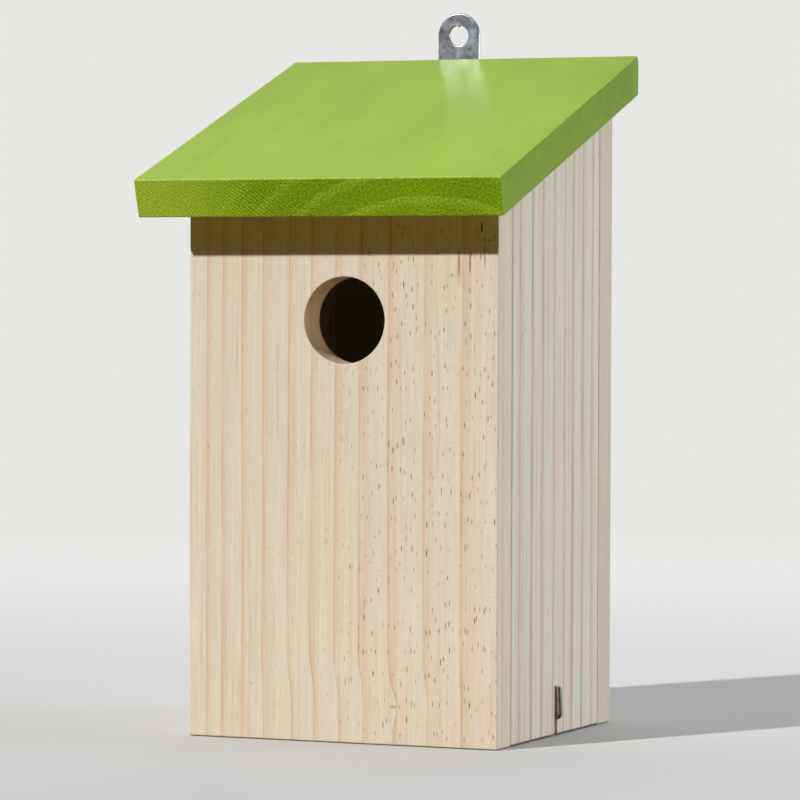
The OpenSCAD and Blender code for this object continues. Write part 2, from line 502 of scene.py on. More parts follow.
def pine(name, axes, pith, rings, seed, knot=None, late=(0.5, 0.97), pores=1.0, warp=1.6, tint=(1.0, 1.0, 1.0), contrast=1.0, ripple=0.0,
         colours=None, hues=1.0, power=1.35, line=0.75, broad=1.5, late2=None):
    CREAM, LATE, LINE = colours or (PINE_CREAM, PINE_LATE, PINE_LINE)
    net = Net(name)
    grain(net, axes, pith, rings, seed, knot, warp)
    a, b, c = net.a, net.b, net.c
    fine = fibres(net, seed)
    mid = net.fac(net.xyz(net.m("MULTIPLY_ADD", a, 1 / 2.1, seed), net.m("MULTIPLY", b, 1 / 2.1), net.m("MULTIPLY", c, 1 / 90)), detail=2.0)
    wide = net.noise(net.xyz(net.m("MULTIPLY_ADD", a, 1 / 22, seed), net.m("MULTIPLY", b, 1 / 22), net.m("MULTIPLY", c, 1 / 70)), detail=2.0)
    fm = net.m("ADD", net.f, net.m("MULTIPLY_ADD", mid, 0.10, -0.05))
    fall = net.step(net.f, 0.0, 0.035, 1.0, 0.0)
    ramp = net.step(fm, late[0], late[1], soft=False)
    ramp = net.m("POWER", ramp, power)
    along = net.fac(net.xyz(net.m("MULTIPLY_ADD", a, 1 / 6, seed + 4.0), net.m("MULTIPLY", b, 1 / 6), net.m("MULTIPLY", c, 1 / 38)), detail=3.0, rough=0.6)
    strength = net.m("ADD", net.m("MULTIPLY_ADD", net.r1, 0.35, 0.70), net.m("MULTIPLY_ADD", along, 1.1, -0.55))
    L = net.m("MULTIPLY", net.m("MAXIMUM", ramp, net.m("MULTIPLY", fall, 0.9)), strength)
    L = net.m("MULTIPLY", L, contrast, clamp=True)
    thin = net.m("MAXIMUM", net.step(net.f, 0.94, 0.985), fall)
    thin = net.m("MULTIPLY", thin, net.m("ADD", net.m("MULTIPLY_ADD", net.r2[1], 0.45, 0.3), net.m("MULTIPLY_ADD", along, 1.6, -0.8)), clamp=True)
    # a fainter inner line where growth paused
    at = net.m("MULTIPLY_ADD", net.r2[2], 0.3, 0.42)
    faint = net.step(net.m("ABSOLUTE", net.m("SUBTRACT", net.f, at)), 0.0, 0.045, 1.0, 0.0)
    faint = net.m("MULTIPLY", faint, net.m("MULTIPLY", net.step(net.r2[0], 0.35, 0.6), 0.22))
    late_col = tuple(x * t for x, t in zip(LATE[:3], tint)) + (1.0,)
    if late2:
        late_col = net.mix(net.step(net.r2[0], 0.35, 0.65), late_col, late2)
    col = net.mix(L, tuple(x * t for x, t in zip(CREAM[:3], tint)) + (1.0,), late_col)
    col = net.mix(net.m("MULTIPLY", thin, line * contrast), col, tuple(x * t for x, t in zip(LINE[:3], tint)) + (1.0,))
    col = net.mix(faint, col, LATE)
    streak = net.sep(net.noise(net.xyz(net.m("MULTIPLY_ADD", a, 1 / broad, seed + 2.0), net.m("MULTIPLY", b, 1 / broad), net.m("MULTIPLY", c, 1 / (broad * broad * 26))), detail=2.0, rough=0.6).outputs["Color"])
    col = net.mix(net.step(streak[0], 0.48, 0.70, 0.0, 0.42 * hues), col, tuple(x * t for x, t in zip(lin(225, 222, 200)[:3], tint)) + (1.0,))
    col = net.mix(net.step(streak[1], 0.50, 0.72, 0.0, 0.42 * hues), col, tuple(x * t for x, t in zip(lin(222, 192, 166)[:3], tint)) + (1.0,))
    col = net.mix(net.step(streak[2], 0.54, 0.74, 0.0, 0.34 * hues), col, tuple(x * t for x, t in zip(lin(204, 194, 160)[:3], tint)) + (1.0,))
    hue = net.sep(wide.outputs["Color"])
    col = net.mix(net.step(hue[0], 0.45, 0.75, 0.0, 0.10), col, lin(226, 196, 172))
    col = net.mix(net.step(hue[1], 0.45, 0.75, 0.0, 0.14), col, lin(214, 214, 186))
    grit = net.fac(net.xyz(net.m("MULTIPLY_ADD", a, 1 / 0.28, seed), net.m("MULTIPLY", b, 1 / 0.28), net.m("MULTIPLY", c, 1 / 3.6)), detail=2.0, rough=0.6)
    tone = net.m("ADD", net.m("MULTIPLY_ADD", fine, 0.26, 0.87), net.m("MULTIPLY_ADD", mid, 0.14, -0.07))
    tone = net.m("ADD", tone, net.m("MULTIPLY_ADD", grit, 0.16, -0.08))
    tone = net.m("ADD", tone, net.m("MULTIPLY_ADD", wide.outputs["Fac"], 0.08, -0.04))
    if ripple:
        rp = net.fac(net.xyz(net.m("MULTIPLY", a, 1 / 3.5), net.m("MULTIPLY", b, 1 / 3.5), net.m("MULTIPLY", c, 1 / 0.9)), detail=1.0)
        tone = net.m("ADD", tone, net.m("MULTIPLY", net.m("MULTIPLY_ADD", rp, 0.12, -0.06), net.step(a, -10.0, 12.0, 0.12, ripple)))
    col = net.times(col, tone)
    # resin canals: short brown dashes along the grain
    vor = net.new("ShaderNodeTexVoronoi", feature="F1", voronoi_dimensions="2D")
    net.put(vor.inputs["Vector"], net.xyz(net.m("MULTIPLY_ADD", a, 1 / 1.9, seed * 2.0), net.m("MULTIPLY", c, 1 / 9.5), 0.0))
    net.put(vor.inputs["Scale"], 1.0)
    vr = net.sep(vor.outputs["Color"])
    size = net.m("MULTIPLY_ADD", vr[0], 0.085, 0.10)
    dash = net.step(vor.outputs["Distance"], net.m("MULTIPLY", size, 0.4), size, 1.0, 0.0)
    keep = net.step(vr[1], 1 - 0.75 * pores, 1 - 0.75 * pores + 0.05)
    side_ = net.step(a, -12.0, 18.0, 0.22, 1.0) if ripple else 0.6
    zone = net.m("MULTIPLY", net.step(net.f, 0.05, 0.3), net.m("MULTIPLY", net.m("MULTIPLY_ADD", vr[2], 0.6, 0.4), side_))
    flat = net.step(net.m("ABSOLUTE", net.v("DOT_PRODUCT", net.facing, tuple(axes[1]))), 0.6, 0.8)
    dash = net.m("MULTIPLY", net.m("MULTIPLY", net.m("MULTIPLY", dash, keep), flat), zone)
    col = net.mix(net.m("MULTIPLY", dash, 0.95), col, lin(142, 94, 56))
    if knot:
        ka, kc = knot[0], knot[1]
        d = net.v("LENGTH", net.xyz(net.m("MULTIPLY", net.m("SUBTRACT", a, ka), 1 / 1.7), net.m("MULTIPLY", net.m("SUBTRACT", c, kc), 1 / 0.8), 0.0))
        d = net.m("ADD", d, net.m("MULTIPLY_ADD", fine, 0.8, -0.4))
        col = net.mix(net.step(d, 0.4, 1.2, 0.6, 0.0), col, lin(190, 140, 92))
        for (px, pz, half_w, half_h, tone_, amount) in STREAKS:
            e = net.v("LENGTH", net.xyz(net.m("MULTIPLY", net.m("SUBTRACT", a, px), 1 / half_w), net.m("MULTIPLY", net.m("SUBTRACT", c, pz), 1 / half_h), 0.0))
            col = net.mix(net.step(e, 0.55, 1.0, amount, 0.0), col, tone_)
    ends = end_mask(net, axes[2])
    cell = net.fac(net.v("SCALE", net.place(), scale=1.6), detail=2.0)
    endcol = net.times(col, net.m("MULTIPLY_ADD", cell, 0.22, 0.94))
    endcol = net.mix(0.35, endcol, lin(220, 184, 148), "MIX")
    col = net.mix(ends, col, endcol)
    # lighter along the rounded edges: sanded wood, and a painted highlight
    edge = net.attr("arris")
    col = net.mix(net.m("MULTIPLY", edge, 0.35), col, lin(232, 222, 202))
    net.put(net.bsdf.inputs["Base Color"], col)
    rough = net.m("ADD", net.m("MULTIPLY_ADD", fine, 0.16, 0.56), net.m("MULTIPLY", L, -0.10))
    net.put(net.bsdf.inputs["Roughness"], net.m("MULTIPLY_ADD", ends, 0.15, rough))
    net.bsdf.inputs["Specular IOR Level"].default_value = 0.35
    h = net.m("ADD", net.m("ADD", net.m("MULTIPLY", fine, 0.6), net.m("MULTIPLY", grit, 0.35)), net.m("MULTIPLY", L, 0.45))
    h = net.m("SUBTRACT", h, net.m("MULTIPLY", dash, 0.9))
    h = net.m("ADD", h, net.m("MULTIPLY", net.m("MULTIPLY", cell, ends), 1.4))
    net.put(net.bsdf.inputs["Normal"], net.bump(h, 0.00009, 0.9))
    return net.mat


STREAKS = [
    (46.4, 176.0, 0.42, 6.5, lin(96, 52, 24), 0.8),
    (46.6, 173.0, 1.8, 7.0, lin(206, 150, 110), 0.30),
    (50.7, 176.2, 0.40, 5.2, lin(96, 52, 24), 0.75),
    (56.5, 178.5, 0.32, 5.6, lin(104, 62, 32), 0.6),
    (8.0, 184.0, 0.35, 8.0, lin(120, 84, 52), 0.4),
    (19.6, 186.0, 0.35, 10.0, lin(120, 84, 52), 0.4),
    (58.4, 184.2, 1.4, 0.35, lin(110, 74, 46), 0.5),
    (43.7, 171.7, 0.5, 0.9, lin(150, 110, 80), 0.6),
    (-36.3, 20.5, 0.4, 0.7, lin(160, 122, 92), 0.6),
    (-54.0, 108.0, 0.4, 0.7, lin(160, 122, 92), 0.6),
]


def painted(name, axes, pith, rings, seed):
    """Semi-gloss green paint brushed along the grain, thin enough that the wood shows through."""
    net = Net(name)
    grain(net, axes, pith, rings, seed, None, 2.2)
    a, b, c = net.a, net.b, net.c
    fine = fibres(net, seed, 0.6, 40.0)
    brush = net.fac(net.xyz(net.m("MULTIPLY_ADD", a, 1 / 1.5, 9.0), net.m("MULTIPLY", b, 1 / 1.5), net.m("MULTIPLY", c, 1 / 70)), detail=3.0, rough=0.6)
    wide = net.fac(net.xyz(net.m("MULTIPLY", a, 1 / 26), net.m("MULTIPLY", b, 1 / 26), net.m("MULTIPLY", c, 1 / 60)), detail=2.0)
    L = net.m("POWER", net.step(net.f, 0.45, 0.97, soft=False), 1.5)
    L = net.m("MULTIPLY", L, net.m("MULTIPLY_ADD", net.r1, 0.5, 0.5))
    col = net.mix(brush, GREEN_A, GREEN_B)
    col = net.mix(net.m("MULTIPLY", L, 0.22), col, GREEN_LATE)
    tone = net.m("ADD", net.m("MULTIPLY_ADD", fine, 0.16, 0.92), net.m("MULTIPLY_ADD", wide, 0.26, -0.13))
    # painted sheen and shade: the top is made lighter towards the front end and darker towards the rear
    tone = net.m("ADD", tone, net.step(c, 40.0, 190.0, 0.125, -0.02, soft=False))
    # the side faces are made darker: painted shade; a lighter strip near their rear edge: a painted highlight where
    # that edge would catch the light; blotches in the paint
    flank = net.m("ABSOLUTE", net.v("DOT_PRODUCT", net.facing, (1.0, 0.0, 0.0)))
    flank = net.step(flank, 0.6, 0.9)
    tail = net.step(net.sep(net.place())[1], RY1 - 6.8, RY1 - 5.6)
    blot = net.fac(net.v("SCALE", net.place(), scale=0.22), detail=4.0, rough=0.65)
    tone = net.m("MULTIPLY", tone, net.m("ADD", net.m("MULTIPLY_ADD", flank, -0.22, 1.0), net.m("MULTIPLY", flank, net.m("ADD", net.m("MULTIPLY", tail, 0.10), net.m("MULTIPLY_ADD", blot, 0.35, -0.175)))))
    col = net.times(col, tone)
    # painted shade on the side faces: their colour darkened and the blue taken out
    col = net.mix(flank, col, (0.76, 0.85, 0.04, 1.0), "MULTIPLY")
    # end grain drinks the paint: darker, with the rings as lighter arcs and the saw's marks
    ends = end_mask(net, axes[2])
    arcs = net.m("MAXIMUM", net.m("MULTIPLY", net.step(net.f, 0.62, 0.93), 0.9), net.step(net.f, 0.0, 0.06, 0.9, 0.0))
    arcs = net.m("MULTIPLY", net.m("MULTIPLY", arcs, net.m("MULTIPLY_ADD", net.r2[1], 0.6, 0.4)), net.step(a, -50.0, -5.0, 0.4, 1.0))
    speck = net.fac(net.xyz(net.m("MULTIPLY", a, 1 / 0.8), net.m("MULTIPLY", b, 1 / 0.8), 3.0), detail=3.0, rough=0.65)
    saw = net.m("SINE", net.m("MULTIPLY", net.m("ADD", net.m("MULTIPLY", a, 0.62), net.m("MULTIPLY_ADD", b, 0.78, net.m("MULTIPLY", wide, 6.0))), 2 * math.pi / 1.15))
    saw = net.m("MULTIPLY", net.m("MULTIPLY", saw, net.step(a, -25.0, 5.0, 1.0, 0.15)), speck)
    dark = net.mix(net.m("MULTIPLY", arcs, 0.55), END_A, END_B)
    etone = net.m("ADD", net.m("MULTIPLY_ADD", speck, 3.0, -0.47), net.m("MULTIPLY", saw, 0.6))
    etone = net.m("ADD", etone, net.m("MULTIPLY_ADD", wide, 0.5, -0.25))
    soft_end = net.step(a, -60.0, -18.0, 1.0, 0.0)
    etone = net.m("MULTIPLY_ADD", net.m("SUBTRACT", etone, 1.0), net.m("MULTIPLY_ADD", soft_end, -0.5, 1.0), 1.0)
    etone = net.m("MULTIPLY", etone, net.m("MULTIPLY_ADD", soft_end, 0.12, 1.0))
    dark = net.mix(net.m("MULTIPLY", soft_end, 0.75), dark, lin(158, 185, 52))
    dark = net.times(dark, etone)
    col = net.mix(ends, col, dark)
    # lighter along the arrises: worn paint, and a painted highlight on the rounded edges
    edge = net.attr("arris")
    glint_and_wear = net.m("MULTIPLY", edge, net.step(net.fac(net.v("SCALE", net.place(), scale=0.5), detail=4.0, rough=0.65), 0.38, 0.62, 0.05, 0.75))
    col = net.mix(glint_and_wear, col, lin(190, 210, 112))
    net.put(net.bsdf.inputs["Base Color"], col)
    rough = net.m("ADD", net.m("MULTIPLY_ADD", brush, 0.16, 0.38), net.m("MULTIPLY", net.m("MULTIPLY_ADD", speck, 0.25, 0.18), ends))
    net.put(net.bsdf.inputs["Roughness"], rough)
    net.bsdf.inputs["Specular IOR Level"].default_value = 0.20
    h = net.m("ADD", net.m("MULTIPLY", fine, 0.35), net.m("MULTIPLY", L, 0.5))
    h = net.m("ADD", h, net.m("MULTIPLY", brush, 0.5))
    h = net.m("ADD", h, net.m("MULTIPLY", ends, net.m("ADD", net.m("MULTIPLY", speck, 1.6), net.m("MULTIPLY", saw, 0.8))))
    net.put(net.bsdf.inputs["Normal"], net.bump(h, 0.00007, 0.8))
    return net.mat


GREEN_A = lin(153, 180, 60)
GREEN_B = lin(163, 190, 72)
GREEN_LATE = lin(142, 172, 30)
END_A = lin(122, 158, 2)
END_B = lin(170, 198, 52)


# where the hook's arm stands, for the painted highlight and painted shade on it
GLINT_ARM = (mm("latch_hook")[1] - (mm("latch_hook")[3] - mm("latch_hook")[2]) / 2, (mm("latch_hook")[2] + mm("latch_hook")[3]) / 2)


def metal(name, base, other, rough, scale, metallic=1.0, scratch=0.1, spangle=0.0, grime=None, glint_and_wear=False):
    net = Net(name)
    p = net.place()
    cloud = net.fac(net.v("SCALE", p, scale=scale), detail=4.0, rough=0.6)
    fine = net.fac(net.v("MULTIPLY", p, (3.0, 3.0, 0.5)), detail=3.0, rough=0.7)
    col = net.mix(net.step(cloud, 0.3, 0.7), base, other)
    if spangle:
        vor = net.new("ShaderNodeTexVoronoi", feature="F1", voronoi_dimensions="3D")
        net.put(vor.inputs["Vector"], net.v("SCALE", p, scale=0.55))
        net.put(vor.inputs["Scale"], 1.0)
        cell = net.sep(vor.outputs["Color"])[0]
        col = net.times(col, net.m("MULTIPLY_ADD", cell, spangle, 1 - spangle / 2))
    if grime:
        col = net.mix(net.step(net.fac(net.v("SCALE", p, scale=0.9), detail=5.0, rough=0.7), 0.5, 0.72, 0.0, 0.35), col, grime)
    # lighter along the edges and the wire's top end: partly bare metal, partly a painted highlight
    edge = net.attr("arris")
    col = net.mix(net.m("MULTIPLY", edge, 0.5), col, (0.86, 0.87, 0.88, 1.0))
    net.bsdf.inputs["Metallic"].default_value = metallic
    if glint_and_wear:
        # painted highlight and painted shade on the arm: a pale line up its front, placed across the arm as the camera
        # sees it, thin dark lines beside it and down its left edge, and its right side darkened
        x_, y_, z_ = net.sep(p)
        off = net.m("ADD", net.m("MULTIPLY", net.m("SUBTRACT", y_, GLINT_ARM[1]), 0.397), net.m("MULTIPLY", net.m("SUBTRACT", x_, GLINT_ARM[0]), 0.918))
        off = net.m("ADD", off, net.step(z_, 8.5, 18.0, 0.0, 0.43, soft=False))
        arm = net.step(z_, 7.2, 8.2)
        # painted shade: thin dark lines beside the pale line and down the arm's left edge
        dark = net.m("MULTIPLY", net.m("MAXIMUM", net.step(net.m("ABSOLUTE", net.m("ADD", off, 0.22)), 0.05, 0.14, 1.0, 0.0), net.step(off, -0.97, -0.88, 1.0, 0.0)), arm)
        col = net.mix(net.m("MULTIPLY", dark, 0.75), col, (0.05, 0.05, 0.04, 1.0))
        # painted shade: the arm's right side darkened
        col = net.mix(net.m("MULTIPLY", net.step(off, -0.05, 0.6, 0.0, 0.8), arm), col, (0.10, 0.135, 0.125, 1.0))
        # painted highlight: the pale line, not metallic so it stays pale
        glint = net.m("MULTIPLY", net.step(net.m("ABSOLUTE", net.m("ADD", off, 0.58)), 0.16, 0.32, 1.0, 0.0), arm)
        glint = net.m("MULTIPLY", glint, net.step(cloud, 0.30, 0.50, 0.55, 0.9))
        col = net.mix(glint, col, lin(246, 244, 240))
        net.put(net.bsdf.inputs["Metallic"], net.m("SUBTRACT", 1.0, glint))
    net.put(net.bsdf.inputs["Base Color"], col)
    net.put(net.bsdf.inputs["Roughness"], net.m("ADD", net.m("MULTIPLY_ADD", cloud, 0.16, rough - 0.08), net.m("MULTIPLY_ADD", fine, scratch, -scratch / 2)))
    net.put(net.bsdf.inputs["Normal"], net.bump(net.m("ADD", cloud, net.m("MULTIPLY", fine, 0.5)), 0.00004, 0.6))
    return net.mat


def ring_radii(marks, a0, b0):
    return [math.hypot(m - a0, b0) for m in marks]


FRONT_RINGS = (-54.8, -48.6, -40.4, -31.9, -21.4, -12.6, -2.7, 7.0, 18.6, 32.8, 47.8)
DOOR_RINGS = (20.4, 32.2, 42.9, 54.6, 65.6, 73.4, 84.2, 94.4, 105.5)
DN = Vector((0, -math.sin(TILT), math.cos(TILT)))   # out of the roof's top
DS = Vector((0, math.cos(TILT), math.sin(TILT)))    # up the roof's slope
ROOF_B = DN.dot(Vector((0, EAVE_Y, RZ0)))           # height of the roof's underside along DN

m_front = pine("pine_front", (X, Y, Z), (70.0, 40.0), ring_radii(FRONT_RINGS, 70.0, 40.0), 1, knot=(21.0, 14.0, 1.5, 18.0, 9.0), late=(0.45, 0.97), power=2.0, line=0.7, pores=1.1, ripple=1.0, hues=1.4)
m_door = pine("pine_door", (Y, X, Z), (330.0, 62.0), [330.0 - y for y in DOOR_RINGS], 2, late=(0.74, 0.90), pores=0.25, warp=0.9, contrast=1.25,
              colours=(lin(221, 217, 203), lin(208, 178, 154), lin(178, 146, 116)), hues=2.0, power=1.0, line=0.42, broad=2.0, late2=lin(184, 172, 138))
m_left = pine("pine_left", (Y, X, Z), (210.0, -20.0), [98.0, 107.0, 117.0, 126.0, 138.0, 147.0, 158.0, 168.0, 177.0, 188.0, 197.0], 3, late=(0.72, 0.97), pores=0.35, warp=1.2)
# the back board is tinted darker: painted shade
m_back = pine("pine_back", (X, Y, Z), (-46.0, 60.0), [58.0, 67.0, 75.0, 84.0, 92.0, 99.0, 106.0, 113.5, 125.0, 133.0, 140.0], 4, late=(0.5, 0.97), pores=0.6, tint=(0.90, 0.865, 0.81), hues=0.4)
m_floor = pine("pine_floor", (Y, Z, X), (130.0, 30.0), [34.0, 43.0, 51.0, 60.0, 68.0, 77.0, 85.0, 94.0, 103.0, 112.0], 5, late=(0.55, 0.97), pores=0.4)
m_roof = painted("green_roof", (X, DN, DS), (44.0, ROOF_B - 66.7), [30.0, 41.0, 52.0, 63.0, 74.0, 86.0, 97.0, 108.0, 121.0, 132.0, 144.0], 6)
m_zinc = metal("zinc", (0.27, 0.29, 0.32, 1), (0.48, 0.51, 0.55, 1), 0.32, 0.22, 1.0, 0.16, 0.25)
# the hook's wire, with a painted highlight and painted shade on its arm
m_wire = metal("wire", (0.20, 0.25, 0.23, 1), (0.34, 0.40, 0.37, 1), 0.40, 0.5, 1.0, 0.15, 0.0, (0.13, 0.12, 0.09, 1), glint_and_wear=True)
m_steel = metal("steel", (0.40, 0.41, 0.42, 1), (0.52, 0.52, 0.52, 1), 0.34, 0.8, 1.0, 0.2)

# -------------------------------------------------------------------- the box


def sloped(y_ref, top, foot=None):
    """Cuts a panel's top to the roof's slope."""
    def shape(p, n):
        w = smooth(p.z, top - 8.0, top - 1.5)
        p = Vector((p.x, p.y, p.z + SLOPE * (p.y - y_ref) * w))
        n = Vector((n.x, n.y - SLOPE * n.z * w, n.z))
        return p, n
    return shape


pin_x = (mm("side_door")[0] + mm("side_door")[1]) / 2
pin_z = (mm("front_pivot_nail")[4] + mm("front_pivot_nail")[5]) / 2


def rim(t):
    return 0.10 * math.sin(3 * t + 1.0) * math.sin(7 * t) + 0.06 * math.sin(23 * t)


def pin_slot():
    return {"loop": long_hole(pin_x, pin_z, 0.42, 1.15), "blind": 1.2, "edge": 0.12}


top_f = FZ1 - SLOPE * (FY1 - FY0)
front = slab("front_board", outline([(FX0, FZ0), (FX1, FZ0), (FX1, top_f), (FX0, top_f)], 0.75), (X, Z, Y), FY0, FY1,
             0.6, 0.5, "box", ["front_panel"], m_front,
             holes=[{"loop": round_hole(HX, HZ, HR, 96), "edge": 0.35, "mid": 2}, pin_slot()], seed=1, shape=sloped(FY0, top_f))

top_b = BZ1 - SLOPE * (BY1 - BY0)
back = slab("back_board", outline([(BX0, BZ0), (BX1, BZ0), (BX1, top_b), (BX0, top_b)], 0.75), (X, Z, Y), BY1, BY0,
            0.6, 0.5, "box", ["back_panel"], m_back,
            holes=[pin_slot()], seed=2,
            shape=sloped(BY0, top_b))

LX0, LX1, LY0, LY1, LZ0, LZ1 = mm("left_side_panel")
left = slab("left_board", outline([(LY0, LZ0), (LY1, LZ0), (LY1, under(LY1)), (LY0, under(LY0))], 0.55), (Y, Z, X), LX0, LX1,
            0.45, 0.45, "box", ["left_side_panel"], m_left, seed=3)

SX0, SX1, SY0, SY1, SZ0, SZ1 = mm("side_door")
drop = under(SY1) - SZ1
HKX0, HKX1, HKY0, HKY1, HKZ0, HKZ1 = mm("latch_hook")
hook_y = (HKY0 + HKY1) / 2
slot_top = HKZ1 + 0.1
door = slab("side_door_board",
            outline([(SY0, SZ0), (hook_y - 1.3, SZ0), (hook_y - 1.3, slot_top), (hook_y + 1.3, slot_top), (hook_y + 1.3, SZ0),
                     (SY1, SZ0), (SY1, under(SY1) - drop), (SY0, under(SY0) - drop)],
                    [0.6, 0.55, 0.25, 0.25, 0.55, 0.6, 0.6, 0.6]),
            (Y, Z, X), SX1, SX0, 0.5, 0.5, "side_door", ["side_door"], m_door, seed=4)

GX0, GX1, GY0, GY1, GZ0, GZ1 = mm("floor_panel")
mid_y = (GY0 + GY1) / 2
floor_board = slab("floor_board", outline([(GX0, GY0), (GX1, GY0), (GX1, GY1), (GX0, GY1)], 0.4), (X, Y, Z), GZ0, GZ1, 0.35, 0.35,
                   "box", ["floor_panel"], m_floor,
                   holes=[{"loop": round_hole(x, y, 3.0, 32), "edge": 0.3} for x in (-34.0, 34.0) for y in (mid_y - 30, mid_y + 30)], seed=5)


knock_a = Vector((RX1 - 1.5, RY1, RZ1))
knock_n = (Vector((RX1, RY1, RZ1 - 3.4)) - knock_a).cross(Vector((RX1, RY1 - 1.6, RZ1 - 1.6 * SLOPE)) - knock_a).normalized()
if knock_n.z < 0:
    knock_n = -knock_n


def knocked(p, n):
    """The front end is sawn a little off square, and the upper rear corner on the right is knocked off."""
    t = (RX1 - p.x) / (RX1 - RX0)
    h = (DN.dot(p) - ROOF_B) / ROOF_T
    p = p + DS * ((1.1 * (1 - t) * h - 0.8 * t * (1 - h)) * (1 - smooth(p.y, EAVE_Y + 1.0, EAVE_Y + 9.0)))
    f = knock_n.dot(p - knock_a)
    if f > 0:
        p = p - knock_n * f
        n = n.normalized() * 0.25 + knock_n * 0.75
    return p, n


front_top = (RY0, RZ0 + ROOF_T * math.cos(TILT))
roof = slab("roof_board",
            outline([(EAVE_Y, RZ0), (RY1, under(RY1)), (RY1, RZ1), front_top], [0.65, 0.6, 0.75, 0.65], step=3.5, arc=6, dense=(2,)),
            (Y, Z, X), RX0, RX1, 0.55, 0.55, "box", ["roof_panel"], m_roof,
            between=[j / 41 for j in range(1, 41)] + [1 - k * 0.5 / (RX1 - RX0) for k in (5, 4, 3, 2, 1)], wobble=0.14, seed=6, shape=knocked)

# ----------------------------------------------------------------- the hardware

PX0, PX1, PY0, PY1, PZ0, PZ1 = mm("hanger_plate")
half_w = (PX1 - PX0) / 2
screw_z0, screw_z1 = mm("hanger_screws")[4] + 3.0, mm("hanger_screws")[5] - 3.0


def nib(t):
    """A small burr left at the top of the stamped hole."""
    d = (t - math.pi / 2 + math.pi) % (2 * math.pi) - math.pi
    return 0.75 * (1 - smooth(abs(d), 0.04, 0.13))


plate = slab("hanger_strap",
             outline([(PX0, PZ0), (PX1, PZ0), (PX1, PZ1), (PX0, PZ1)], [0.9, 0.9, half_w - 0.01, half_w - 0.01], step=2.0, arc=16),
             (X, Z, Y), PY0, PY1, 0.5, 0.4, "box", ["hanger_plate"], m_zinc,
             holes=[{"loop": round_hole(PHX, PHZ, PHR, 144, nib), "edge": 0.35},
                    {"loop": round_hole(PHX, screw_z0, 3.0, 40), "edge": 0.05},
                    {"loop": round_hole(PHX, screw_z1, 3.0, 40), "edge": 0.05}], wobble=0.05, seed=7)


def cross(u, v, d):
    """A tapered cross recess in a screw's head."""
    if d > 0.9:
        return 0.0
    arm = max(smooth(0.62 - abs(u), 0.0, 0.35) * smooth(1.9 - abs(v), 0.0, 0.7), smooth(0.62 - abs(v), 0.0, 0.35) * smooth(1.9 - abs(u), 0.0, 0.7))
    return 1.1 * arm


sverts, sfaces = [], []
for z in (screw_z0, screw_z1):
    prof = [(0.12, 0.25)] + [(0.12 - 0.10 * (1 - (r / 2.9) ** 2) + 0.02, r) for r in [0.25 + 0.2 * k for k in range(1, 13)]] + \
        [(0.16, 2.85), (0.3, 2.95), (0.45, 2.85), (1.5, 1.5), (8.5, 1.45), (10.9, 0.3)]
    v, f = turned("s", prof, (PHX, PY1, z), (0, -1, 0), (math.cos(0.3), 0, math.sin(0.3)), None, None, None, None, 64, cross)
    off = len(sverts)
    sverts += v
    sfaces += [tuple(i + off for i in q) for q in f]
screws = finish_mesh("strap_screws", sverts, None, sfaces, [0.0] * len(sverts), "box", ["hanger_screws"], m_steel)

wire_r = (HKY1 - HKY0) / 2
arm_x = HKX1 - wire_r
hook_z = HKZ0 + wire_r
bend = 1.5 * wire_r
path, radii = [], []
tip_x = HKX0
for x, r in ((tip_x + 0.02, 0.2), (tip_x + 2.0, wire_r)):
    path.append(Vector((x, hook_y, hook_z)))
    radii.append(r)
for k in range(1, 12):
    path.append(Vector((tip_x + 2.0 + (arm_x - bend - tip_x - 2.0) * k / 12, hook_y, hook_z)))
    radii.append(wire_r)
for k in range(0, 13):
    t = math.pi / 2 * k / 12
    path.append(Vector((arm_x - bend + bend * math.sin(t), hook_y, hook_z + bend - bend * math.cos(t))))
    radii.append(wire_r * (1 - 0.03 * math.sin(2 * t)))
top_z = HKZ1
for k in range(1, 13):
    w = k / 12
    path.append(Vector((arm_x - 0.28 * w ** 1.5, hook_y - 0.45 * w ** 1.3, hook_z + bend + (top_z - 0.14 - hook_z - bend) * w)))
    radii.append(wire_r * (1 - 0.012 * math.sin(9 * w)))
path.append(path[-1] + Vector((0, 0, 0.10)))
radii.append(wire_r * 0.95)
path.append(path[-1] + Vector((0, 0, 0.04)))
radii.append(wire_r * 0.82)
hverts, hfaces = sweep(path, radii, 28)
# the wire's top end is marked for the pale edge colour: a painted highlight on the tip
harris = [0.0] * len(hverts)
for i in range(28 * (len(path) - 2), 28 * len(path)):
    harris[i] = 0.8
hook = finish_mesh("wire_hook", hverts, None, hfaces, harris, "latch_hook", ["latch_hook"], m_wire)
mod = hook.modifiers.new("smooth", "SUBSURF")
mod.levels = mod.render_levels = 1
mod.subdivision_type = "SIMPLE"

for tag, node, face, inward in (("front_pin", "front_pivot_nail", FY0, 1), ("rear_pin", "rear_pivot_nail", BY1, -1)):
    long_ = mm(node)[3] - mm(node)[2]
    prof = [(0.46, 0.12), (0.44, 0.26), (0.5, 0.33), (0.62, 0.36), (1.5, 0.36), (2.2, 0.98), (long_ - 2.6, 0.98), (long_ - 0.4, 0.2), (long_ - 0.05, 0.05)]
    pv, pf = turned(tag, prof, (pin_x, face, pin_z), (0, inward, 0), (1, 0, 0), None, None, None, None, 24)
    stretched = []
    for q in pv:
        d = abs(q.y - face)
        w = 1 - smooth(d, 1.2, 2.2)
        dz = q.z - pin_z
        lift = max(-1.0, min(1.0, dz / 0.18)) * 1.12 * w
        stretched.append(Vector((q.x, q.y, q.z + lift)))
    finish_mesh(tag, stretched, None, pf, [0.0] * len(pv), "box", [node], m_steel)

for n in ("front_brads", "back_brads", "side_brads", "roof_brads"):
    o = frame["nodes"][n]
    o.data.materials.clear()
    o.data.materials.append(m_steel)

# --------------------------------------------------------- studio, light, camera


